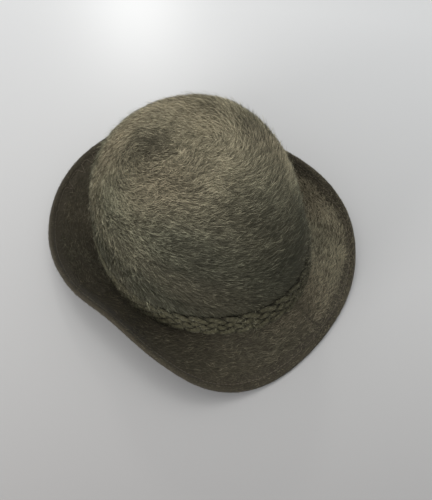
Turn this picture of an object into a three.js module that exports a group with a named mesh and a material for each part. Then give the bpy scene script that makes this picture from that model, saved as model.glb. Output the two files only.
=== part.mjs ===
// A cloche hat of long-haired felt, resting on a table by itself, with a plaited band round its crown.
// Millimetres, +Z up. The hat's front is towards -Y and the wearer's left is towards +X.
// Angles round the hat are in degrees from the front, by the wearer's left and the back.
import * as THREE from 'three';

// Crown
const headLength = 207;
const headWidth = 165;
const headRoundness = 1.91;
const crownHeight = 149;
const crownLean = 5;
const feltThickness = 2.6;

// Brim
const brimWidth = 52.5;
const bendLength = 6;
const weltWidth = 6.5;
const weltThickness = 4.8;
const weltGrooveDepth = 0.8;

// Band
const bandWidth = 29;
const bandThickness = 3.4;
const plaitPitch = 14;
const plaitRelief = 1.3;
const bandClearance = 0.35;

// Rest: how far the table presses into the felt, and how softly the felt gives way beside it
const tablePress = 1.8;
const pressSoftness = 1;

// Mesh
const columns = 64;
const crownRows = 15;
const bendRows = 3;
const brimRows = 5;
const grooveShare = 0.15;
const brimSteps = 8;
const edgeTurns = [45, 0, -45];

// The crown's sections, foot to top: rise is a share of crownHeight, and wide and long are shares of the
// head's width and length. The foot is as oval as a head, and the top is blocked nearly round.
const crownSections = [
  { rise: 0, wide: 1, long: 1 },
  { rise: 0.15, wide: 1.001, long: 0.995 },
  { rise: 0.3, wide: 1.006, long: 0.978 },
  { rise: 0.45, wide: 1.006, long: 0.946 },
  { rise: 0.6, wide: 0.988, long: 0.886 },
  { rise: 0.72, wide: 0.946, long: 0.808 },
  { rise: 0.82, wide: 0.871, long: 0.709 },
  { rise: 0.9, wide: 0.753, long: 0.588 },
  { rise: 0.955, wide: 0.597, long: 0.452 },
  { rise: 0.985, wide: 0.42, long: 0.312 },
  { rise: 0.997, wide: 0.235, long: 0.172 },
  { rise: 1, wide: 0, long: 0 },
];

// Soft hollows that handling left in the crown: depth is a share of crownHeight, reach in degrees
const crownDents = [
  { around: 285, rise: 0.86, depth: 0.022, reach: 30, reachUp: 0.12 },
  { around: 60, rise: 0.9, depth: 0.02, reach: 32, reachUp: 0.1 },
  { around: 5, rise: 0.42, depth: 0.014, reach: 30, reachUp: 0.12 },
];

// The brim's sections round the head: width is a share of brimWidth, lift the rise of its line in degrees,
// and curl what that line gains in slope from its middle to its edge
const brimSections = [
  { around: 0, width: 0.89, lift: -47, curl: -10 },
  { around: 30, width: 1.0, lift: -26, curl: -6 },
  { around: 60, width: 0.95, lift: 26, curl: 10 },
  { around: 90, width: 0.915, lift: 53, curl: 16 },
  { around: 120, width: 0.97, lift: 47, curl: 17 },
  { around: 150, width: 1.02, lift: 31, curl: 15 },
  { around: 180, width: 1.07, lift: 20, curl: 12 },
  { around: 210, width: 1.02, lift: 21, curl: 14 },
  { around: 240, width: 0.97, lift: 34, curl: 17 },
  { around: 270, width: 0.915, lift: 45, curl: 16 },
  { around: 300, width: 0.945, lift: 23, curl: 10 },
  { around: 330, width: 1.0, lift: -26, curl: -6 },
];

// The welt, groove to edge: inset is a share of the welt's width inside its round edge,
// and thick is a share of its thickness
const weltSections = [
  { inset: 0.7, thick: 0.8 },
  { inset: 0.4, thick: 1 },
  { inset: 0, thick: 1 },
];

// The band's face, foot to top: up is a share of bandWidth, out a share of bandThickness,
// and turn says which half of the plait's repeat stands proud there, as 1, -1 or neither
const plaitRows = [
  { up: 0, out: 0.45, turn: 0 },
  { up: 0.03, out: 0.8, turn: 0.5 },
  { up: 0.12, out: 1, turn: 1 },
  { up: 0.25, out: 0.9, turn: 0 },
  { up: 0.37, out: 1, turn: -1 },
  { up: 0.5, out: 0.9, turn: 0 },
  { up: 0.63, out: 1, turn: 1 },
  { up: 0.75, out: 0.9, turn: 0 },
  { up: 0.88, out: 1, turn: -1 },
  { up: 0.97, out: 0.8, turn: -0.5 },
  { up: 1, out: 0.45, turn: 0 },
];

const radians = THREE.MathUtils.degToRad;

// A closed table read at any angle, by a smooth curve through its rows
function roundTable(rows, column, angle) {
  const step = 360 / rows.length;
  const place = (((angle % 360) + 360) % 360) / step;
  const first = Math.floor(place);
  const t = place - first;
  const [a, b, c, d] = [-1, 0, 1, 2].map((k) => rows[(first + k + rows.length) % rows.length][column]);
  return b + 0.5 * t * (c - a + t * (2 * a - 5 * b + 4 * c - d + t * (3 * (b - c) + d - a)));
}

// The middle of the felt at the crown's foot, and the level direction straight out from it
function headOval(angle) {
  const sine = Math.sin(radians(angle));
  const cosine = Math.cos(radians(angle));
  const across = (Math.abs(sine) * 2) / (headWidth - feltThickness);
  const along = (Math.abs(cosine) * 2) / (headLength - feltThickness);
  const radius = 1 / (across ** headRoundness + along ** headRoundness) ** (1 / headRoundness);
  return new THREE.Vector3(radius * sine, -radius * cosine, 0);
}

function outwards(angle) {
  const along = headOval(angle + 1).sub(headOval(angle - 1));
  return new THREE.Vector3(along.y, -along.x, 0).normalize();
}

// The crown's profile as one smooth curve: half its width, half its length and its height
const crownProfile = new THREE.CatmullRomCurve3(
  crownSections.map(({ rise, wide, long }) => {
    const [halfWidth, halfLength] = [(wide * headWidth) / 2, (long * headLength) / 2];
    return new THREE.Vector3(halfWidth, halfLength, rise * crownHeight);
  }),
);
crownProfile.arcLengthDivisions = 800;
const crownRun = crownProfile.getLength();

// The difference between two angles, the short way round
function angleBetween(a, b) {
  return Math.abs(((((a - b) % 360) + 540) % 360) - 180);
}

function dentDepth(angle, rise) {
  const depths = crownDents.map((dent) => {
    const beside = angleBetween(angle, dent.around) / dent.reach;
    const above = (rise - dent.rise) / dent.reachUp;
    return dent.depth * crownHeight * Math.exp(-beside * beside - above * above);
  });
  return depths.reduce((sum, depth) => sum + depth, 0);
}

// A point in the middle of the crown's felt, run millimetres up its profile from the foot
function crownPoint(angle, run) {
  const profile = crownProfile.getPointAt(THREE.MathUtils.clamp(run / crownRun, 0, 1));
  const rise = profile.z / crownHeight;
  const point = headOval(angle);
  point.x = (point.x * 2 * profile.x) / headWidth + crownLean * rise;
  point.y *= (2 * profile.y) / headLength;
  point.z = profile.z - (feltThickness / 2) * rise;
  const heart = new THREE.Vector3(crownLean / 2, 0, crownHeight / 2);
  return point.add(heart.sub(point).normalize().multiplyScalar(dentDepth(angle, rise)));
}

function brimReach(angle) {
  return brimWidth * roundTable(brimSections, 'width', angle);
}

// A point in the middle of the brim's felt, reach millimetres out along its line
function brimPoint(angle, reach) {
  const lift = roundTable(brimSections, 'lift', angle);
  const curl = roundTable(brimSections, 'curl', angle);
  const direction = outwards(angle);
  const point = headOval(angle);
  for (let step = 0; step < brimSteps; step += 1) {
    const share = ((step + 0.5) / brimSteps) * (reach / brimReach(angle));
    const slope = radians(lift + curl * (2 * share - 1));
    point.addScaledVector(direction, (Math.cos(slope) * reach) / brimSteps);
    point.z += (Math.sin(slope) * reach) / brimSteps;
  }
  return point;
}

// The bend from crown to brim leaves both of their lines smoothly
function bendPoint(angle, share) {
  const bend = new THREE.QuadraticBezierCurve3(
    crownPoint(angle, bendLength),
    headOval(angle),
    brimPoint(angle, bendLength),
  );
  return bend.getPoint(share);
}

// The rows of the felt from the crown's top to the brim's edge: where each lies, and half its thickness there
function feltRows() {
  const half = feltThickness / 2;
  const crown = Array.from({ length: crownRows }, (_, row) => {
    const run = crownRun - ((crownRun - bendLength) * row) / crownRows;
    return { half, at: (angle) => crownPoint(angle, run) };
  });
  const bend = Array.from({ length: bendRows + 1 }, (_, row) => ({
    half,
    at: (angle) => bendPoint(angle, row / bendRows),
  }));
  const brim = Array.from({ length: brimRows }, (_, row) => {
    const share = (row + 1) / (brimRows + grooveShare);
    const reach = (angle) => bendLength + share * (brimReach(angle) - weltWidth - bendLength);
    return { half, at: (angle) => brimPoint(angle, reach(angle)) };
  });
  const edge = weltThickness / 2;
  const welt = weltSections.map(({ inset, thick }) => ({
    half: thick * edge,
    at: (angle) => brimPoint(angle, brimReach(angle) - edge - inset * (weltWidth - edge)),
  }));
  const groove = {
    half: (feltThickness - weltGrooveDepth) / 2,
    at: (angle) => brimPoint(angle, brimReach(angle) - weltWidth),
  };
  return [...crown, ...bend, ...brim, groove, ...welt];
}

// Points on a grid of rows and columns round the hat, with the direction straight out of the sheet at each
function sheetGrid(rows, count) {
  const points = rows.map((row) => Array.from({ length: count }, (_, i) => row.at((360 * i) / count)));
  const last = rows.length - 1;
  return points.map((line, r) =>
    line.map((point, i) => {
      const down = points[Math.min(r + 1, last)][i].clone().sub(points[Math.max(r - 1, 0)][i]).normalize();
      const next = line[(i + 1) % count];
      const before = line[(i + count - 1) % count];
      const round = next.clone().sub(before);
      const straight = round.lengthSq() > 1e-6 ? down.clone().cross(round) : new THREE.Vector3(0, 0, 1);
      const out = straight.normalize();
      return { point, down, out };
    }),
  );
}

// The felt's own surface as rings of points: over the top, round the edge and back up inside
function feltRings(rows) {
  const grid = sheetGrid(rows, columns);
  const offset = (row, along, out) =>
    grid[row].map((cell) => {
      const half = rows[row].half;
      const point = cell.point.clone().addScaledVector(cell.down, along * half);
      return point.addScaledVector(cell.out, out * half);
    });
  const last = rows.length - 1;
  const upper = rows.map((_, row) => offset(row, 0, 1));
  const tip = edgeTurns.map((turn) => offset(last, Math.cos(radians(turn)), Math.sin(radians(turn))));
  const under = rows.map((_, row) => offset(row, 0, -1)).reverse();
  return { upper, tip, under };
}

// The hat tips back until its front edge and the back of its head opening lie level
function restTilt(under) {
  const points = under.flat();
  const front = points.filter((point) => point.y < 0);
  const back = points.filter((point) => point.y > 0);
  const lowest = (side, tilt) =>
    Math.min(...side.map((point) => point.z * Math.cos(tilt) - point.y * Math.sin(tilt)));
  let low = radians(-30);
  let high = radians(30);
  for (let step = 0; step < 40; step += 1) {
    const tilt = (low + high) / 2;
    if (lowest(front, tilt) < lowest(back, tilt)) {
      low = tilt;
    } else {
      high = tilt;
    }
  }
  return { tilt: low, drop: lowest(back, low) + tablePress };
}

// What the table does to felt that would hang below it: flat in the middle, and easing off at the sides
function pressed(z) {
  const inside = THREE.MathUtils.clamp(z + pressSoftness, 0, 2 * pressSoftness);
  return Math.max(z - pressSoftness, 0) + (inside * inside) / (4 * pressSoftness);
}

// Closed body from rings of points: poles close the first and last ring, or the rings join end to end
function closedBody(rings, poles) {
  const count = rings[0].length;
  const points = rings.flat();
  const faces = [];
  const rows = poles ? rings.length - 1 : rings.length;
  for (let r = 0; r < rows; r += 1) {
    for (let i = 0; i < count; i += 1) {
      const a = r * count + i;
      const b = r * count + ((i + 1) % count);
      const c = ((r + 1) % rings.length) * count + i;
      const d = ((r + 1) % rings.length) * count + ((i + 1) % count);
      faces.push(a, c, b, b, c, d);
    }
  }
  if (poles) {
    const top = points.push(poles[0]) - 1;
    const bottom = points.push(poles[1]) - 1;
    const lastRing = (rings.length - 1) * count;
    for (let i = 0; i < count; i += 1) {
      faces.push(top, i, (i + 1) % count);
      faces.push(bottom, lastRing + ((i + 1) % count), lastRing + i);
    }
  }
  const geometry = new THREE.BufferGeometry();
  geometry.setAttribute('position', new THREE.Float32BufferAttribute(points.flatMap((p) => p.toArray()), 3));
  geometry.setIndex(faces);
  geometry.computeVertexNormals();
  return geometry;
}

const rows = feltRows();
const { upper, tip, under } = feltRings(rows);
const rest = restTilt(under);
const restTurn = new THREE.Matrix4().makeRotationX(-rest.tilt);

function onTable(point) {
  const placed = point.clone().applyMatrix4(restTurn);
  placed.z -= rest.drop;
  return placed;
}

// Crown and brim are one felt; where it meets the table its whole thickness moves up together
function feltBody() {
  const give = under.map((ring) => ring.map((point) => pressed(onTable(point).z) - onTable(point).z));
  const settle = (ring, gives) =>
    ring.map((point, i) => {
      const placed = onTable(point);
      placed.z = Math.max(placed.z + gives[i], 0);
      return placed;
    });
  const settledUpper = upper.map((ring, r) => settle(ring, give[rows.length - 1 - r]));
  const settledTip = tip.map((ring) => settle(ring, give[0]));
  const settledUnder = under.map((ring, r) => settle(ring, give[r]));
  const [outerTop, ...outer] = settledUpper;
  const innerTop = settledUnder.pop();
  return closedBody([...outer, ...settledTip, ...settledUnder], [outerTop[0], innerTop[0]]);
}

// The band is plaited flat, so two rows of loops stand proud at every half repeat and two between them
function braidedBand() {
  const foot = bendLength + bandClearance;
  const middle = headOval(0).length() + headOval(90).length();
  const repeats = Math.round((Math.PI * middle) / plaitPitch);
  const levels = plaitRows.map(({ up }) => ({ at: (angle) => crownPoint(angle, foot + up * bandWidth) }));
  const grid = sheetGrid([...levels].reverse(), repeats * 2).reverse();
  const seat = feltThickness / 2 + bandClearance;
  const face = plaitRows.map(({ out, turn }, level) =>
    grid[level].map((cell, i) => {
      const proud = turn * (i % 2 ? 0.5 : -0.5) * plaitRelief;
      return cell.point.clone().addScaledVector(cell.out, seat + out * bandThickness + proud);
    }),
  );
  const top = plaitRows.length - 1;
  const inside = [0, top / 2, top].map((level) =>
    grid[level].map((cell) => cell.point.clone().addScaledVector(cell.out, seat)),
  );
  return closedBody([...face.reverse(), ...inside].map((ring) => ring.map(onTable)), null);
}

const feltFinish = new THREE.MeshStandardMaterial({ color: 0x5c5744, roughness: 0.95, metalness: 0 });
const bandFinish = new THREE.MeshStandardMaterial({ color: 0x45422f, roughness: 0.9, metalness: 0 });

const felt = new THREE.Mesh(feltBody(), feltFinish);
felt.name = 'felt_body';
const band = new THREE.Mesh(braidedBand(), bandFinish);
band.name = 'braided_band';

// The origin is on the table, under the middle of the hat
const hat = new THREE.Group();
hat.add(felt, band);
const extent = new THREE.Box3().setFromObject(felt);
const centre = extent.getCenter(new THREE.Vector3());
hat.position.set(-centre.x, -centre.y, 0);

export default hat;
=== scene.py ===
import math

import bmesh
import bpy
import numpy as np
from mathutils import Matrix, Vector
from mathutils.bvhtree import BVHTree


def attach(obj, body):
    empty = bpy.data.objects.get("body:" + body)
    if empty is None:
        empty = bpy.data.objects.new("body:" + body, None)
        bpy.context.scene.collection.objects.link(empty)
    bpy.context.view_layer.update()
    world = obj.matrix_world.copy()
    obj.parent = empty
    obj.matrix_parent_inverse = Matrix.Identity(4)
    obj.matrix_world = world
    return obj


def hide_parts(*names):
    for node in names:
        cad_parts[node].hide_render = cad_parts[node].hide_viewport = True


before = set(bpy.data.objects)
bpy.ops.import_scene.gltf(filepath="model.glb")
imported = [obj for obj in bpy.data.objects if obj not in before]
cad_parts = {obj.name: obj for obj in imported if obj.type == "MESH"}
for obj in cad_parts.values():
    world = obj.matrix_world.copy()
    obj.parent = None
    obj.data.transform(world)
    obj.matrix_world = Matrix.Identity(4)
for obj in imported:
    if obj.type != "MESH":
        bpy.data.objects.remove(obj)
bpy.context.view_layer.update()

# Felt body
# Crown and brim are one cap of fur felt about 2.6 mm thick, steamed and pulled over an oval block. The brim's
# edge is turned over into a welt. The felt is short-napped inside and under the brim.
FELT_WELD = 0.00002
FELT_FLATNESS = math.radians(45)
FELT_SQUARENESS = math.radians(65)
FELT_FINENESS = 2
NAP_DARK = (0.013, 0.011, 0.007, 1)
NAP_LIGHT = (0.050, 0.042, 0.028, 1)
NAP_DARK_AT = 0.42
NAP_LIGHT_AT = 0.95
CLOUD_SHARE = 0.55


def feed(links, value, socket):
    """Links another socket to this one, or sets it to a plain value."""
    if isinstance(value, bpy.types.NodeSocket):
        links.new(value, socket)
    else:
        socket.default_value = value


def worked_out(nodes, links, operation, *values):
    """A math node's result from sockets and plain numbers."""
    made = nodes.new("ShaderNodeMath")
    made.operation = operation
    for value, socket in zip(values, made.inputs):
        feed(links, value, socket)
    return made.outputs[0]


def noise(nodes, links, scale, detail, distortion=0):
    """Noise laid over the piece's own metres."""
    place = nodes.new("ShaderNodeTexCoord")
    made = nodes.new("ShaderNodeTexNoise")
    made.inputs["Scale"].default_value = scale
    made.inputs["Detail"].default_value = detail
    made.inputs["Distortion"].default_value = distortion
    links.new(place.outputs["Object"], made.inputs["Vector"])
    return made.outputs["Fac"]


def shaded(nodes, links, value, dark, light):
    """A colour for a value, between a dark and a light one, each given as (value, colour)."""
    ramp = nodes.new("ShaderNodeValToRGB")
    for stop, (position, colour) in zip(ramp.color_ramp.elements, (dark, light)):
        stop.position = position
        stop.color = colour
    links.new(value, ramp.inputs["Fac"])
    return ramp.outputs["Color"]


def roughen(nodes, links, shader, height, strength, depth):
    """Gives the shader fine bumps, depth metres high."""
    bump = nodes.new("ShaderNodeBump")
    bump.inputs["Strength"].default_value = strength
    bump.inputs["Distance"].default_value = depth
    links.new(height, bump.inputs["Height"])
    links.new(bump.outputs["Normal"], shader.inputs["Normal"])


def material(name, build):
    """A node material whose shader is set up by build(nodes, links, shader)."""
    made = bpy.data.materials.new(name)
    made.use_nodes = True
    nodes = made.node_tree.nodes
    build(nodes, made.node_tree.links, nodes["Principled BSDF"])
    return made


def placed(name, mesh, finish):
    """A new object that shows a mesh in a material."""
    mesh.materials.append(finish)
    piece = bpy.data.objects.new(name, mesh)
    bpy.context.scene.collection.objects.link(piece)
    return piece


def felt_nap(nodes, links, shader):
    clouds = noise(nodes, links, scale=38, detail=5)
    fibres = noise(nodes, links, scale=900, detail=4, distortion=1.6)
    mottled = worked_out(nodes, links, "MULTIPLY_ADD", clouds, CLOUD_SHARE, fibres)
    colour = shaded(nodes, links, mottled, (NAP_DARK_AT, NAP_DARK), (NAP_LIGHT_AT, NAP_LIGHT))
    links.new(colour, shader.inputs["Base Color"])
    roughen(nodes, links, shader, fibres, strength=0.5, depth=0.0005)
    shader.inputs["Roughness"].default_value = 0.95
    shader.inputs["Specular IOR Level"].default_value = 0.15
    shader.inputs["Sheen Weight"].default_value = 0.12
    shader.inputs["Sheen Roughness"].default_value = 0.5


def blocked_felt():
    """The felt's own skin, welded from its solid and rounded."""
    form = bmesh.new()
    form.from_mesh(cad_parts["felt_body"].data)
    bmesh.ops.remove_doubles(form, verts=form.verts, dist=FELT_WELD)
    bmesh.ops.join_triangles(
        form,
        faces=form.faces,
        angle_face_threshold=FELT_FLATNESS,
        angle_shape_threshold=FELT_SQUARENESS,
    )
    skin = bpy.data.meshes.new("felt_skin")
    form.to_mesh(skin)
    form.free()
    draft = bpy.data.objects.new("felt_draft", skin)
    bpy.context.scene.collection.objects.link(draft)
    rounding = draft.modifiers.new("rounding", "SUBSURF")
    rounding.levels = FELT_FINENESS
    rounding.render_levels = FELT_FINENESS
    graph = bpy.context.evaluated_depsgraph_get()
    rounded = bpy.data.meshes.new_from_object(draft.evaluated_get(graph))
    bpy.data.objects.remove(draft)
    rounded.name = "crown_and_brim"
    rounded.polygons.foreach_set("use_smooth", np.ones(len(rounded.polygons), bool))
    return rounded


felt = placed("crown_and_brim", blocked_felt(), material("short_felt_nap", felt_nap))
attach(felt, "root")
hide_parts("felt_body")

# Braided band
# Five wool cords plaited flat, over one and under one, into a band 29 mm wide that lies in the bend between
# crown and brim. Each cord is two-ply with a fine twist, and turns back at both of the band's edges. Hair
# hangs over the band at the wearer's left front. The wool's colour carries painted shade: darker on the
# cords' inner sides, where they pass under, and in the crevice under the hanging hair at the wearer's left
# front.
CORDS = 5
PLAIT_REPEAT = 0.070
PLAIT_HEIGHTS = np.array([0.7, 1, -1, 1, -1, 0.7])
CROSSING_LIFT = 0.75
EDGE_EASE = 0.1
CORD_WIDTH = 0.0072
CORD_THICKNESS = 0.0027
CORD_CLEAR = 0.0004
CORD_SIDES = 10
CORD_STEP = 0.0011
PLIES = 2
PLY_PITCH = 0.0032
TWIST_SHARE = 0.08
# Painted shade in the plait: each cord darker on its inner side and where it passes under another.
CREASE_SHADE = 0.75
UNDER_SHADE = 0.5
# Painted shade on the wool where the band lies in the crevice at the wearer's left front; the crown's hair
# also hangs over the band at this angle.
HANGING_AND_SHADE_AT = 0.90
CREVICE_SHADE_HALF = 0.8
CREVICE_PAINTED_SHADE = 0.45
CORD_DARK = (0.008, 0.007, 0.004, 1)
CORD_LIGHT = (0.105, 0.097, 0.058, 1)
CORD_DARK_AT = 0.14
CORD_LIGHT_AT = 0.64

ANGLES = 256
SEAT_ROWS = 7
RAY_STEP = 0.0005
WAY_ROUND = np.linspace(0, 2 * math.pi, ANGLES, endpoint=False)


def corners(mesh):
    places = np.zeros(len(mesh.vertices) * 3, np.float32)
    mesh.vertices.foreach_get("co", places)
    return places.reshape(-1, 3).astype(float)


def unit(vectors):
    return vectors / np.maximum(np.linalg.norm(vectors, axis=-1, keepdims=True), 1e-12)


# The hat leans back on the table, and the band lies level on the hat, so the band gives the hat's own axis.
# Angles run round that axis from the hat's front, by way of the wearer's left.
band_corners = corners(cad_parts["braided_band"].data)
hat_middle = (band_corners.min(0) + band_corners.max(0)) / 2
hat_axis = np.linalg.svd(band_corners - band_corners.mean(0), full_matrices=False)[2][2]
hat_axis = hat_axis * np.sign(hat_axis[2])
hat_left = unit(np.cross(hat_axis, (0.0, -1.0, 0.0)))
hat_front = np.cross(hat_left, hat_axis)
band_heights = (band_corners - hat_middle) @ hat_axis
band_foot = band_heights.min()
band_top = band_heights.max()

felt_corners = corners(felt.data)
felt_tree = BVHTree.FromPolygons(felt_corners.tolist(), [tuple(face.vertices) for face in felt.data.polygons])


def level_way(angle):
    """The level direction out of the hat at an angle."""
    return np.cos(angle) * hat_front + np.sin(angle) * hat_left


def angle_on_hat(places):
    from_middle = places - hat_middle
    return np.arctan2(from_middle @ hat_left, from_middle @ hat_front) % (2 * math.pi)


def turned_from(angle, places):
    """How far round the hat each place is from an angle, from -pi to pi."""
    return (angle_on_hat(places) - angle + math.pi) % (2 * math.pi) - math.pi


def crown_wall(angle, height):
    """Where the crown's outside is, and which way it faces, at an angle and a height on the hat."""
    way = Vector(level_way(angle))
    start = Vector(hat_middle + height * hat_axis)
    inside = felt_tree.ray_cast(start, way)[0]
    return felt_tree.ray_cast(inside + way * RAY_STEP, way)[:2]


def closed(line):
    return np.concatenate([line, line[:1]])


def distance_along(line):
    """How far along a line each of its places is."""
    return np.concatenate([[0], np.cumsum(np.linalg.norm(np.diff(line, axis=0), axis=1))])


seat_places = np.zeros((ANGLES, SEAT_ROWS, 3))
seat_facings = np.zeros((ANGLES, SEAT_ROWS, 3))
for i, angle in enumerate(WAY_ROUND):
    for j, level in enumerate(np.linspace(band_foot, band_top, SEAT_ROWS)):
        seat_places[i, j], seat_facings[i, j] = crown_wall(angle, level)

arc = distance_along(closed(seat_places[:, SEAT_ROWS // 2]))
band_girth = arc[-1]
repeats = round(band_girth / PLAIT_REPEAT)


def on_seat(table, turn, up):
    """A table of places on the crown, read at shares from 0 to 1 of the way round and up the band."""
    across = (turn % 1.0) * ANGLES
    first = np.floor(across).astype(int)
    along = np.clip(up, 0, 1) * (SEAT_ROWS - 1)
    lower = np.minimum(np.floor(along).astype(int), SEAT_ROWS - 2)
    s = (across - first)[:, None]
    t = (along - lower)[:, None]
    first, second = first % ANGLES, (first + 1) % ANGLES
    below = table[first, lower] * (1 - s) + table[second, lower] * s
    above = table[first, lower + 1] * (1 - s) + table[second, lower + 1] * s
    return below * (1 - t) + above * t


def plait_lift(phase):
    """Over 1 and under -1 along a cord: it turns on top at each edge, then goes over, under, over, under."""
    last = len(PLAIT_HEIGHTS) - 1
    place = phase % 0.5 * 2 * last
    knot = np.minimum(place.astype(int), last - 1)
    ease = (1 - np.cos(math.pi * (place - knot))) / 2
    return PLAIT_HEIGHTS[knot] * (1 - ease) + PLAIT_HEIGHTS[knot + 1] * ease


def plaited_cords():
    """The five cords' middle lines, each with the way out of the crown under it, and where each goes over."""
    lines, overs = [], []
    steps = int(band_girth / CORD_STEP)
    along = np.arange(steps) / steps
    turn = np.interp(along, arc / band_girth, np.arange(ANGLES + 1) / ANGLES)
    inset = CORD_WIDTH / 2 / (band_top - band_foot)
    for cord in range(CORDS):
        phase = along * repeats + cord / CORDS
        sway = (1 - EDGE_EASE) * np.cos(2 * math.pi * phase) + EDGE_EASE * np.cos(6 * math.pi * phase)
        up = 0.5 + (0.5 - inset) * sway
        out = unit(on_seat(seat_facings, turn, up))
        over = plait_lift(phase)
        lift = CORD_CLEAR + CORD_THICKNESS / 2 * (1 + CROSSING_LIFT * (1 + over))
        lines.append((on_seat(seat_places, turn, up) + out * lift[:, None], out))
        overs.append(over)
    return lines, np.concatenate(overs)


def tube(lines, is_closed, wide, thick, sides):
    """A flat-sided tube round each line of (places, out), as joined arrays of places and faces."""
    all_places, all_faces, first = [], [], 0
    for places, out in lines:
        ahead = np.roll(places, -1, 0) - np.roll(places, 1, 0)
        if not is_closed:
            ahead[0], ahead[-1] = places[1] - places[0], places[-1] - places[-2]
        ahead = unit(ahead)
        side = unit(np.cross(out, ahead))
        top = np.cross(ahead, side)
        turn = np.linspace(0, 2 * math.pi, sides, endpoint=False)
        ring = (
            places[:, None]
            + np.cos(turn)[None, :, None] * side[:, None] * wide / 2
            + np.sin(turn)[None, :, None] * top[:, None] * thick / 2
        )
        count = len(places)
        rows = np.arange(count if is_closed else count - 1)[:, None]
        around = np.arange(sides)[None]
        row, next_row = first + rows * sides, first + ((rows + 1) % count) * sides
        next_around = (around + 1) % sides
        quads = np.stack([row + around, row + next_around, next_row + next_around, next_row + around], -1)
        all_faces.append(quads.reshape(-1, 4))
        all_places.append(ring.reshape(-1, 3))
        first += count * sides
    return np.concatenate(all_places), np.concatenate(all_faces)


def joined_mesh(name, places, faces):
    """A smooth mesh from arrays of places and of faces with one number of corners."""
    made = bpy.data.meshes.new(name)
    made.vertices.add(len(places))
    made.vertices.foreach_set("co", places.astype(np.float32).ravel())
    made.loops.add(faces.size)
    made.loops.foreach_set("vertex_index", faces.ravel().astype(np.int32))
    made.polygons.add(len(faces))
    made.polygons.foreach_set("loop_start", np.arange(0, faces.size, faces.shape[1], dtype=np.int32))
    made.polygons.foreach_set("use_smooth", np.ones(len(faces), bool))
    made.update(calc_edges=True)
    made.validate()
    return made


def point_value(mesh, name, values):
    mesh.attributes.new(name, "FLOAT", "POINT").data.foreach_set("value", values.astype(np.float32).ravel())


def plaited_band():
    """The five cords as one mesh, with the twist of their plies and painted shade: how open to the light each
    point lies.
    """
    lines, overs = plaited_cords()
    places, faces = tube(lines, True, CORD_WIDTH, CORD_THICKNESS, CORD_SIDES)
    made = joined_mesh("plaited_band", places, faces)
    row, side = np.divmod(np.arange(len(places)), CORD_SIDES)
    point_value(made, "ply", 2 * math.pi * (row * CORD_STEP / PLY_PITCH + PLIES * side / CORD_SIDES))
    outward = np.sin(2 * math.pi * side / CORD_SIDES)
    # Painted shade in the wool's colour: the crevice at the wearer's left front, the cords' inner sides and
    # where they pass under.
    painted_crevice_shade = CREVICE_PAINTED_SHADE * np.exp(-((turned_from(HANGING_AND_SHADE_AT, places) / CREVICE_SHADE_HALF) ** 4))
    painted_plait_light = np.clip(1 - CREASE_SHADE * (1 - outward), 0, 1) * (1 - UNDER_SHADE * (1 - overs[row]))
    point_value(made, "open", (1 - painted_crevice_shade) * painted_plait_light)
    return made


def attribute(nodes, name):
    read = nodes.new("ShaderNodeAttribute")
    read.attribute_name = name
    return read.outputs["Fac"]


def cord_wool(nodes, links, shader):
    twist = worked_out(nodes, links, "SINE", attribute(nodes, "ply"))
    fuzz = noise(nodes, links, scale=1400, detail=3)
    grain = worked_out(nodes, links, "MULTIPLY_ADD", twist, TWIST_SHARE, fuzz)
    lit = worked_out(nodes, links, "MULTIPLY", grain, attribute(nodes, "open"))
    colour = shaded(nodes, links, lit, (CORD_DARK_AT, CORD_DARK), (CORD_LIGHT_AT, CORD_LIGHT))
    links.new(colour, shader.inputs["Base Color"])
    roughen(nodes, links, shader, grain, strength=0.8, depth=0.0004)
    shader.inputs["Roughness"].default_value = 0.85
    shader.inputs["Specular IOR Level"].default_value = 0.1


band = placed("plaited_band", plaited_band(), material("plaited_wool", cord_wool))
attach(band, "root")
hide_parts("braided_band")

# Welt stitches
# The brim's edge is turned over and sewn down by machine, so a line of short stitches lies sunk in the groove
# 6.6 mm in from the edge. The thread is a little browner than the felt.
WELT_WIDTH = 0.0066
STITCH_LENGTH = 0.0026
STITCH_PITCH = 0.0036
STITCH_THICKNESS = 0.0006
STITCH_RISE = np.array([-0.4, 0.5, 0.7, 0.5, -0.4]) * STITCH_THICKNESS
THREAD_SIDES = 6
THREAD_COLOUR = (0.085, 0.068, 0.045, 1)
BRIM_SAMPLES = 50
EDGE_CLEAR = 0.0004
CROWN_CLEAR = 0.008
OVER_HAT = 0.12


def distance_out(places):
    """How far each place is from the hat's axis."""
    from_middle = places - hat_middle
    return np.linalg.norm(from_middle - (from_middle @ hat_axis)[:, None] * hat_axis, axis=1)


wall_reach = np.array([np.linalg.norm(np.array(crown_wall(angle, 0)[0]) - hat_middle) for angle in WAY_ROUND])
edge_reach = np.zeros(ANGLES)
corner_turn = (angle_on_hat(felt_corners) / (2 * math.pi) * ANGLES).astype(int) % ANGLES
np.maximum.at(edge_reach, corner_turn, distance_out(felt_corners))


def brim_line(inset):
    """Points on the brim's upper side all round, inset metres in from its edge along the felt."""
    places = np.zeros((ANGLES, 3))
    for i, angle in enumerate(WAY_ROUND):
        line = []
        for out in np.linspace(edge_reach[i] - EDGE_CLEAR, wall_reach[i] + CROWN_CLEAR, BRIM_SAMPLES):
            start = hat_middle + level_way(angle) * out + hat_axis * OVER_HAT
            place = felt_tree.ray_cast(Vector(start), Vector(-hat_axis))[0]
            if place is not None:
                line.append(place)
        line = np.array(line)
        along = distance_along(line)
        places[i] = [np.interp(inset, along, line[:, axis]) for axis in range(3)]
    return places


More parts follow.
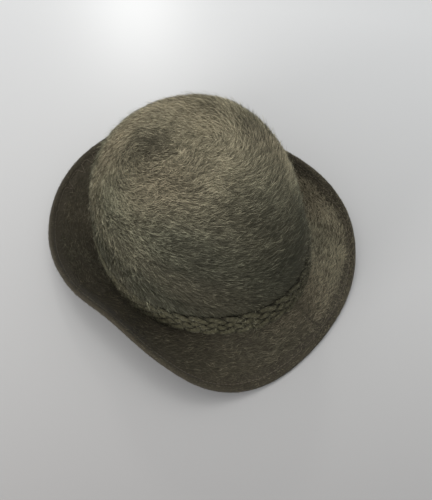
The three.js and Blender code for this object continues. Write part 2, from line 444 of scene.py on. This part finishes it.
def welt_stitches():
    groove = closed(brim_line(WELT_WIDTH))
    along = distance_along(groove)
    stitches = int(along[-1] / STITCH_PITCH)
    lines = []
    for start in np.arange(stitches) * along[-1] / stitches:
        sewn = (start + np.linspace(0, STITCH_LENGTH, len(STITCH_RISE))) % along[-1]
        places = np.stack([np.interp(sewn, along, groove[:, axis]) for axis in range(3)], -1)
        out = np.array([felt_tree.find_nearest(Vector(place))[1] for place in places])
        lines.append((places + out * STITCH_RISE[:, None], out))
    return tube(lines, False, STITCH_THICKNESS, STITCH_THICKNESS, THREAD_SIDES)


def sewing_thread(nodes, links, shader):
    shader.inputs["Base Color"].default_value = THREAD_COLOUR
    shader.inputs["Roughness"].default_value = 0.7


stitches_mesh = joined_mesh("welt_stitches", *welt_stitches())
stitches = placed("welt_stitches", stitches_mesh, material("sewing_thread", sewing_thread))
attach(stitches, "root")

# Long hair and wool fuzz
# The felt is brushed so that its long hair lies round the crown from a whorl on top, with dark roots and pale
# tips. It is shorter on the brim and shortest on the welt. It hangs over the band at the wearer's left front
# and right, and the band's wool cords have a short fuzz of their own.
HAIR_SIZES = {
    "crown": {"length": 0.0074, "rise": 0.0022, "spread": 0.224},
    "brim": {"length": 0.0058, "rise": 0.0014, "spread": 0.368},
    "cords": {"length": 0.0030, "rise": 0.0009, "spread": 0.720},
}
HAIR_TONES = {
    "crown": {"palest": 1.00, "mottle": 0.14, "warmth": 0.15, "brightness": 1.00},
    "brim": {"palest": 0.72, "mottle": 0.34, "warmth": 0.80, "brightness": 0.84},
    "cords": {"palest": 0.85, "mottle": 0.10, "warmth": 0.30, "brightness": 0.75},
}
HAIR_PIECES = [
    {"name": "crown_hair_a", "kind": "crown", "slot": "long_haired_felt", "triangles": 190000},
    {"name": "crown_hair_b", "kind": "crown", "slot": "long_haired_felt", "triangles": 190000},
    {"name": "crown_hair_c", "kind": "crown", "slot": "long_haired_felt", "triangles": 190000},
    {"name": "brim_hair", "kind": "brim", "slot": "long_haired_felt", "triangles": 180000},
    {"name": "cord_fuzz", "kind": "cords", "slot": "plaited_cord", "triangles": 45000},
]
FIRST_SEED = 100

# Where hair grows
HEART_HEIGHT = 0.045
CROWN_OUT_TO = 0.004
CROWN_BELOW_BAND_TOP = 0.003
BRIM_OUT_FROM = 0.002
BRIM_FACES_UP = -0.25
TABLE_CLEAR = 0.0001

# How it lies
WHORL_HALF = 0.026
WHORL_WAY = (0.68, -0.73, 0.0)
WHORL_REACH = 0.035
WHORL_TANGLE = 1.6
LOCK_SIZE = 0.012
LOCK_SEED = 50
LENGTH_RANGE = (0.65, 1.25)
RISE_RANGE = (0.4, 1.5)
STRAY_SHARE = 0.07
STRAY_RISE = 1.9
DROOP = 0.55
DROOP_REACH = 0.010
LIFTED_AT = 0.25
LIFTED_HALF = 0.7
LIFTED_BY = 0.35
LIFTED_OVER_BAND = 0.040
LIFTED_REACH = 0.035
HANGING = [
    {"angle": HANGING_AND_SHADE_AT, "half": 0.70, "share": 0.90},
    {"angle": 4.55, "half": 0.55, "share": 0.75},
]
HANGING_FADE = 0.13
HANGING_REACH = 0.009
HANGING_TURN = 0.7
HANGING_RISE = 0.0040
HANGING_LENGTH = 0.7
WELT_HAIR = 0.4
WELT_FADE = 0.006

# How pale and warm it is, with painted light and shade: the crown's hair is painted darker towards the band,
# lighter on top and where it hangs over the band, and in patches
FOOT_SHADE = 0.04
SHADE_CURVE = 1.30
HANGING_LIT = 0.25
# The brim's hair has painted shade all round and painted light at the wearer's left front.
BRIM_SHADE = 0.15
BRIM_PAINTED_LIGHT_AT = 0.75
BRIM_PAINTED_LIGHT_HALF = 0.70
BRIM_PAINTED_LIGHT = 1.25
CORD_FUZZ_LIT = 0.60
# Patches of painted light and shade on the crown's hair, each at an angle round the hat and a tilt from its
# top: painted shade in the crown's dents and low on its front, painted light on its flank towards the
# wearer's right back and low at the wearer's left front.
PAINTED_LIGHT_PATCHES = [
    {"angle": 3.61, "from_top": 0.30, "reach": 0.27, "paler": -0.62},
    {"angle": 0.92, "from_top": 0.80, "reach": 0.24, "paler": -0.45},
    {"angle": 6.16, "from_top": 0.94, "reach": 0.32, "paler": -0.50},
    {"angle": 5.50, "from_top": 1.25, "reach": 0.42, "paler": -0.68},
    {"angle": 0.85, "from_top": 1.22, "reach": 0.24, "paler": 0.90},
    {"angle": 0.72, "from_top": 1.58, "reach": 0.22, "paler": 1.40},
    {"angle": 0.10, "from_top": 1.55, "reach": 0.42, "paler": -0.45},
    {"angle": 4.40, "from_top": 1.05, "reach": 0.42, "paler": 0.12},
    {"angle": 5.20, "from_top": 0.60, "reach": 0.45, "paler": -0.36},
]
PALE_SHARE = 0.42
PALE_RANGE = 0.35
DARK_RANGE = (0.04, 0.40)
SHADE_DEPTH = 0.45
TONE_NOISE = 0.08
MOTTLE_SIZE = 0.014
MOTTLE_SEED = 7
WARM_TOP = 0.75
WARM_CURVE = 3
WARM_WAVES = 0.3
WARM_SIZE = 0.035
WARM_SEED = 8
ROOT_COLOUR = (0.015, 0.013, 0.008, 1)
WARM_TIP = (0.760, 0.655, 0.435, 1)
GREY_TIP = (0.550, 0.540, 0.365, 1)
PALEST_AT = 0.75
LEAST_PALE = 0.06
WAVES = 7
WAVE_STRETCH = (1.4, 3.2)
WAVE_HEIGHT = 3.2

# One hair
HAIR_WIDTH = 0.00022
HAIR_TAPER = ((0, 1.0), (0.5, 0.85), (1, 0))
HAIR_FACES = np.array([[0, 1, 3], [0, 3, 2], [2, 3, 4]])
HAIR_PALENESS = np.array([0, 0, 0.6, 0.6, 1.0])
ROOT_SCATTER = (0.00021, 0.00007)
ROOT_DEPTH = 0.0002
TIP_GATHER = 0.6
REACH_RANGE = (0.75, 1.15)
LIFT_RANGE = (0.6, 1.3)
SWING = 0.16
ROLL = 0.7


def surface(mesh):
    """A mesh's corners, normals and triangles, and each triangle's middle, area and the way it faces."""
    mesh.calc_loop_triangles()
    triangles = np.zeros(len(mesh.loop_triangles) * 3, np.int32)
    mesh.loop_triangles.foreach_get("vertices", triangles)
    triangles = triangles.reshape(-1, 3)
    normals = np.zeros(len(mesh.vertices) * 3, np.float32)
    mesh.vertices.foreach_get("normal", normals)
    places = corners(mesh)
    at = places[triangles]
    cross = np.cross(at[:, 1] - at[:, 0], at[:, 2] - at[:, 0])
    return {
        "corners": places,
        "normals": normals.reshape(-1, 3).astype(float),
        "triangles": triangles,
        "middle": at.mean(1),
        "area": np.linalg.norm(cross, axis=1) / 2,
        "way": unit(cross),
    }


def height_on_hat(places):
    return (places - hat_middle) @ hat_axis


def read_round(reach, places):
    """A table of reaches round the hat, read at each place's angle."""
    return np.interp(angle_on_hat(places), np.append(WAY_ROUND, 2 * math.pi), closed(reach))


crown_heart = hat_middle + hat_axis * HEART_HEIGHT
crown_top = height_on_hat(felt_corners).max()
whorl_heart = hat_middle + hat_axis * crown_top
whorl_line = unit(np.array(WHORL_WAY) - np.dot(WHORL_WAY, hat_axis) * hat_axis)


def hair_grounds():
    """Each kind of hair's surface, and which of its triangles the hair grows on."""
    on_felt, on_cords = surface(felt.data), surface(band.data)
    middle, way = on_felt["middle"], on_felt["way"]
    out_by = distance_out(middle) - read_round(wall_reach, middle)
    on_outside = ((middle - crown_heart) * way).sum(1) > 0
    over_band = height_on_hat(middle) > band_top - CROWN_BELOW_BAND_TOP
    on_crown = (out_by < CROWN_OUT_TO) & on_outside & over_band
    on_brim = (out_by > BRIM_OUT_FROM) & (way @ hat_axis > BRIM_FACES_UP)
    faces_out = ((on_cords["middle"] - hat_middle) * on_cords["way"]).sum(1) > 0
    return {"crown": (on_felt, on_crown), "brim": (on_felt, on_brim), "cords": (on_cords, faces_out)}


def waves(places, size, seed):
    """A smooth random value, mostly from -1 to 1, at each place, changing over about size metres."""
    chance = np.random.default_rng(seed)
    total = np.zeros(len(places))
    for _ in range(WAVES):
        way = unit(chance.normal(size=3)) * 2 * math.pi / (size * chance.uniform(*WAVE_STRETCH))
        total += np.sin(places @ way + chance.uniform(0, 2 * math.pi))
    return total / WAVE_HEIGHT


def scattered(ground, allowed, count, chance):
    """Random places on a surface's allowed triangles, even by area, and the surface's normals there."""
    weight = np.where(allowed, ground["area"], 0)
    face = chance.choice(len(weight), count, p=weight / weight.sum())
    a, b = chance.random((2, count))
    flip = a + b > 1
    a, b = np.where(flip, 1 - a, a), np.where(flip, 1 - b, b)
    shares = np.stack([1 - a - b, a, b], -1)[:, :, None]
    at = ground["triangles"][face]
    return (ground["corners"][at] * shares).sum(1), unit((ground["normals"][at] * shares).sum(1))


def brushed_way(root, normal, kind):
    """The way the hair is brushed: round the whorl's line on the crown, round the hat's axis elsewhere."""
    level = root - hat_middle
    level = level - (level @ hat_axis)[:, None] * hat_axis
    if kind == "crown":
        level = level - np.clip(level @ whorl_line, -WHORL_HALF, WHORL_HALF)[:, None] * whorl_line
    way = np.cross(hat_axis, unit(level))
    return unit(way - (way * normal).sum(1)[:, None] * normal)


def hanging(root):
    """How far the hair at each root hangs over the band, from 0 to 1."""
    hangs = np.zeros(len(root))
    for place in HANGING:
        beside = np.abs(turned_from(place["angle"], root))
        hangs += place["share"] / (1 + np.exp((beside - place["half"]) / HANGING_FADE))
    return hangs * np.exp(-(((height_on_hat(root) - band_top) / HANGING_REACH) ** 2))


def short_at_welt(root):
    """The share of its full length that the brim's hair has at each root."""
    inset = read_round(edge_reach, root) - distance_out(root)
    return np.clip((inset - WELT_WIDTH) / WELT_FADE, WELT_HAIR, 1)


def combed(kind, root, normal, chance):
    """The way each hair lies, its length and how far it rises off the felt."""
    sizes = HAIR_SIZES[kind]
    length = sizes["length"] * chance.uniform(*LENGTH_RANGE, len(root))
    rise = sizes["rise"] * chance.uniform(*RISE_RANGE, len(root))
    whorl_near = np.exp(-((np.linalg.norm(root - whorl_heart, axis=1) / WHORL_REACH) ** 2))
    turn = sizes["spread"] * (1 + WHORL_TANGLE * whorl_near)
    turn = turn * (waves(root, LOCK_SIZE, LOCK_SEED) + chance.normal(size=len(root)))
    if kind == "crown":
        over_band = height_on_hat(root) - band_top
        hangs = hanging(root)
        turn = turn - DROOP * np.exp(-((over_band / DROOP_REACH) ** 2)) - HANGING_TURN * hangs
        rise = rise + HANGING_RISE * hangs
        length = length * (1 + HANGING_LENGTH * hangs)
        lifted = (turned_from(LIFTED_AT, root) / LIFTED_HALF) ** 2
        lifted = lifted + ((over_band - LIFTED_OVER_BAND) / LIFTED_REACH) ** 2
        turn = turn + LIFTED_BY * np.exp(-lifted)
    way = brushed_way(root, normal, kind)
    across = np.cross(normal, way)
    way = unit(way * np.cos(turn)[:, None] + across * np.sin(turn)[:, None])
    rise = np.where(chance.random(len(root)) < STRAY_SHARE, rise * STRAY_RISE, rise)
    if kind == "brim":
        length, rise = length * short_at_welt(root), rise * short_at_welt(root)
    return way, length, rise


def painted_light_share(kind, root, height):
    """Painted light and shade at each root: 1 on top of the crown, painted shade further down, and more or
    less in the painted patches.
    """
    if kind == "cords":
        return np.full(len(root), CORD_FUZZ_LIT)
    if kind == "brim":
        # Painted light on the brim at the wearer's left front.
        brim_light = BRIM_PAINTED_LIGHT * np.exp(-((turned_from(BRIM_PAINTED_LIGHT_AT, root) / BRIM_PAINTED_LIGHT_HALF) ** 2))
        return (BRIM_SHADE + brim_light) * np.sqrt(short_at_welt(root))
    lit = FOOT_SHADE + (1 - FOOT_SHADE) * height ** SHADE_CURVE + HANGING_LIT * hanging(root)
    for patch in PAINTED_LIGHT_PATCHES:
        tilt = patch["from_top"]
        towards = math.sin(tilt) * level_way(patch["angle"]) + math.cos(tilt) * hat_axis
        apart = np.arccos(np.clip(unit(root - crown_heart) @ towards, -1, 1))
        lit = lit * (1 + patch["paler"] * np.exp(-((apart / patch["reach"]) ** 2)))
    return lit


def toned(kind, root, chance):
    """How pale and how warm each hair's tip is, from 0 to 1, its paleness carrying painted light and shade.
    """
    tones = HAIR_TONES[kind]
    height = np.clip((height_on_hat(root) - band_top) / (crown_top - band_top), 0, 1)
    lit = painted_light_share(kind, root, height)
    mottle = tones["mottle"] * waves(root, MOTTLE_SIZE, MOTTLE_SEED)
    is_pale = chance.random(len(root)) < lit * (PALE_SHARE + mottle)
    pale = chance.uniform(tones["palest"] - PALE_RANGE, tones["palest"], len(root))
    dark = chance.uniform(*DARK_RANGE, len(root)) * lit
    tone = np.where(is_pale, pale, dark) * (1 - SHADE_DEPTH * (1 - lit))
    warmth = tones["warmth"] + (1 - tones["warmth"]) * WARM_TOP * height ** WARM_CURVE
    return tone, np.clip(warmth + WARM_WAVES * waves(root, WARM_SIZE, WARM_SEED), 0, 1)


def hair_mesh(piece, ground, allowed, seed):
    """Tapered hairs of three triangles each on one part of the hat, as one mesh."""
    chance = np.random.default_rng(seed)
    count = int(piece["triangles"] / len(HAIR_FACES))
    root, normal = scattered(ground, allowed, count, chance)
    way, length, rise = combed(piece["kind"], root, normal, chance)
    tone, warmth = toned(piece["kind"], root, chance)
    across = np.cross(normal, way)
    spot = chance.normal(size=(count, 2)) * ROOT_SCATTER
    offset = way * spot[:, :1] + across * spot[:, 1:]
    length = length * chance.uniform(*REACH_RANGE, count)
    rise = rise * chance.uniform(*LIFT_RANGE, count)
    swing = chance.normal(size=count) * SWING
    roll = chance.normal(size=count) * ROLL
    flat = unit(across * np.cos(roll)[:, None] + normal * np.sin(roll)[:, None])
    rows = []
    for share, wide in HAIR_TAPER:
        middle = (
            root
            + offset * (1 - TIP_GATHER * share)
            + way * (length * share)[:, None]
            + across * (swing * length * share * share)[:, None]
            + normal * (rise * np.sin(share * math.pi / 2) - ROOT_DEPTH)[:, None]
        )
        side = flat * HAIR_WIDTH / 2 * wide
        rows += [middle - side, middle + side] if wide else [middle]
    places = np.stack(rows, 1).reshape(-1, 3)
    places[:, 2] = np.maximum(places[:, 2], TABLE_CLEAR)
    faces = np.arange(count)[:, None, None] * len(rows) + HAIR_FACES
    made = joined_mesh(piece["name"], places, faces.reshape(-1, 3))
    tone = np.clip(tone + TONE_NOISE * chance.normal(size=count), 0, 1)
    point_value(made, "along", np.tile(HAIR_PALENESS, count))
    point_value(made, "tone", np.repeat(tone, len(rows)))
    point_value(made, "warmth", np.repeat(warmth, len(rows)))
    return made


def blended(nodes, links, share, first, second):
    """A colour between two others, by a share from 0 to 1."""
    mix = nodes.new("ShaderNodeMix")
    mix.data_type = "RGBA"
    feed(links, first, mix.inputs["A"])
    feed(links, second, mix.inputs["B"])
    links.new(share, mix.inputs["Factor"])
    return mix.outputs["Result"]


def hair_shader(brightness):
    """A hair shader from dark roots to grey or warm tips, these as bright as is asked, the tips' paleness
    carrying painted light and shade.
    """
    def build(nodes, links, shader):
        grey = [part * brightness for part in GREY_TIP[:3]] + [1]
        warm = [part * brightness for part in WARM_TIP[:3]] + [1]
        tips = blended(nodes, links, attribute(nodes, "warmth"), grey, warm)
        pale = nodes.new("ShaderNodeMapRange")
        pale.inputs["From Max"].default_value = PALEST_AT
        pale.inputs["To Min"].default_value = LEAST_PALE
        along, tone = attribute(nodes, "along"), attribute(nodes, "tone")
        links.new(worked_out(nodes, links, "MULTIPLY", along, tone), pale.inputs["Value"])
        colour = blended(nodes, links, pale.outputs["Result"], ROOT_COLOUR, tips)
        links.new(colour, shader.inputs["Base Color"])
        shader.inputs["Roughness"].default_value = 0.6
        shader.inputs["Specular IOR Level"].default_value = 0.15
    return build


hair_finishes = {
    "crown": material("crown_hair", hair_shader(HAIR_TONES["crown"]["brightness"])),
    "brim": material("brim_hair", hair_shader(HAIR_TONES["brim"]["brightness"])),
    "cords": material("cord_fuzz", hair_shader(HAIR_TONES["cords"]["brightness"])),
}
grounds = hair_grounds()
for number, row in enumerate(HAIR_PIECES):
    mesh = hair_mesh(row, *grounds[row["kind"]], FIRST_SEED + number)
    hair = placed(row["name"], mesh, hair_finishes[row["kind"]])
    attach(hair, "root")

# Table, light and camera
# The hat lies on a pale table whose colour carries painted shade: it darkens from the far side towards the
# near side, as the room's light falls off. Soft light comes from the room all round, from a broad lamp
# overhead, a low one at the near left and a small one beyond the far side. The camera looks down at the hat
# from its front and the wearer's right.
TABLE_HALF = 3.0
TABLE_BELOW = 0.0002
# Painted shade: the table's colour runs from dark on the near side to pale on the far side, standing for the
# room's light falling off.
TABLE_NEAR = (0.225, 0.219, 0.214, 1)
TABLE_FAR = (0.560, 0.560, 0.555, 1)
TABLE_PAINTED_FALLOFF_WAY = (0.86, 0.51, 0)
TABLE_PAINTED_FALLOFF_HALF = 0.30
CAMERA_AZIMUTH = math.radians(-46.8)
CAMERA_ELEVATION = math.radians(61.9)
CAMERA_DISTANCE = 0.8
PIXELS_PER_METRE = 1124
PHOTO_WIDTH, PHOTO_HEIGHT = 432, 500
TARGET = (0, 0, 0.05)
TARGET_PIXEL = (194.9, 222.3)
SENSOR = 36
LAMP_COLUMNS = ("name", "far", "right", "up", "aim_up", "size", "watts", "colour")
LAMPS = [
    ("ceiling", 0.25, -0.05, 1.45, 0.05, 2.00, 9.0, (1.00, 0.96, 0.89)),
    ("room_fill", -0.55, -0.75, 0.35, 0.00, 0.50, 7.0, (1.00, 0.98, 0.98)),
    ("far_window", 1.50, -0.14, 1.35, 0.05, 0.22, 3.6, (1.00, 1.00, 0.98)),
]
ROOM_COLOUR = (0.93, 0.96, 1.0, 1)
ROOM_STRENGTH = 0.86


def table_top(nodes, links, shader):
    place = nodes.new("ShaderNodeTexCoord")
    across = nodes.new("ShaderNodeVectorMath")
    across.operation = "DOT_PRODUCT"
    across.inputs[1].default_value = TABLE_PAINTED_FALLOFF_WAY
    painted_falloff = nodes.new("ShaderNodeMapRange")
    painted_falloff.inputs["From Min"].default_value = -TABLE_PAINTED_FALLOFF_HALF
    painted_falloff.inputs["From Max"].default_value = TABLE_PAINTED_FALLOFF_HALF
    links.new(place.outputs["Object"], across.inputs[0])
    links.new(across.outputs["Value"], painted_falloff.inputs["Value"])
    painted_falloff_colour = blended(nodes, links, painted_falloff.outputs["Result"], TABLE_NEAR, TABLE_FAR)
    links.new(painted_falloff_colour, shader.inputs["Base Color"])
    shader.inputs["Roughness"].default_value = 0.28


bpy.ops.mesh.primitive_plane_add(size=2 * TABLE_HALF, location=(0, 0, -TABLE_BELOW))
table = bpy.context.object
table.name = "table_top"
table.data.materials.append(material("pale_table", table_top))

view_back = np.array([
    math.sin(CAMERA_AZIMUTH) * math.cos(CAMERA_ELEVATION),
    -math.cos(CAMERA_AZIMUTH) * math.cos(CAMERA_ELEVATION),
    math.sin(CAMERA_ELEVATION),
])
view_right = np.array([math.cos(CAMERA_AZIMUTH), math.sin(CAMERA_AZIMUTH), 0])
view_up = np.cross(view_back, view_right)
far_way = np.array([-view_back[0], -view_back[1], 0]) / math.cos(CAMERA_ELEVATION)


def soft_light(name, far, right, up, aim_up, size, watts, colour):
    """A round lamp, placed far and right as the camera sees it, and aimed over the table's middle."""
    lamp = bpy.data.lights.new(name, "AREA")
    lamp.shape = "DISK"
    lamp.size = size
    lamp.energy = watts
    lamp.color = colour
    place = far_way * far + view_right * right + (0, 0, up)
    made = bpy.data.objects.new(name, lamp)
    made.location = place
    made.rotation_euler = (Vector((0, 0, aim_up)) - Vector(place)).to_track_quat("-Z", "Y").to_euler()
    bpy.context.scene.collection.objects.link(made)


for row in LAMPS:
    soft_light(**dict(zip(LAMP_COLUMNS, row)))

world = bpy.data.worlds.new("room")
world.use_nodes = True
world.node_tree.nodes["Background"].inputs["Color"].default_value = ROOM_COLOUR
world.node_tree.nodes["Background"].inputs["Strength"].default_value = ROOM_STRENGTH
bpy.context.scene.world = world
bpy.context.scene.view_settings.view_transform = "Standard"

camera = bpy.data.objects.new("camera", bpy.data.cameras.new("camera"))
bpy.context.scene.collection.objects.link(camera)
camera.data.sensor_width = SENSOR
camera.data.lens = PIXELS_PER_METRE * CAMERA_DISTANCE / PHOTO_HEIGHT * SENSOR
aim = (
    np.array(TARGET)
    + view_right * (PHOTO_WIDTH / 2 - TARGET_PIXEL[0]) / PIXELS_PER_METRE
    - view_up * (PHOTO_HEIGHT / 2 - TARGET_PIXEL[1]) / PIXELS_PER_METRE
)
camera.location = np.array(TARGET) + view_back * CAMERA_DISTANCE
camera.rotation_euler = (Vector(aim) - camera.location).to_track_quat("-Z", "Y").to_euler()
bpy.context.scene.camera = camera
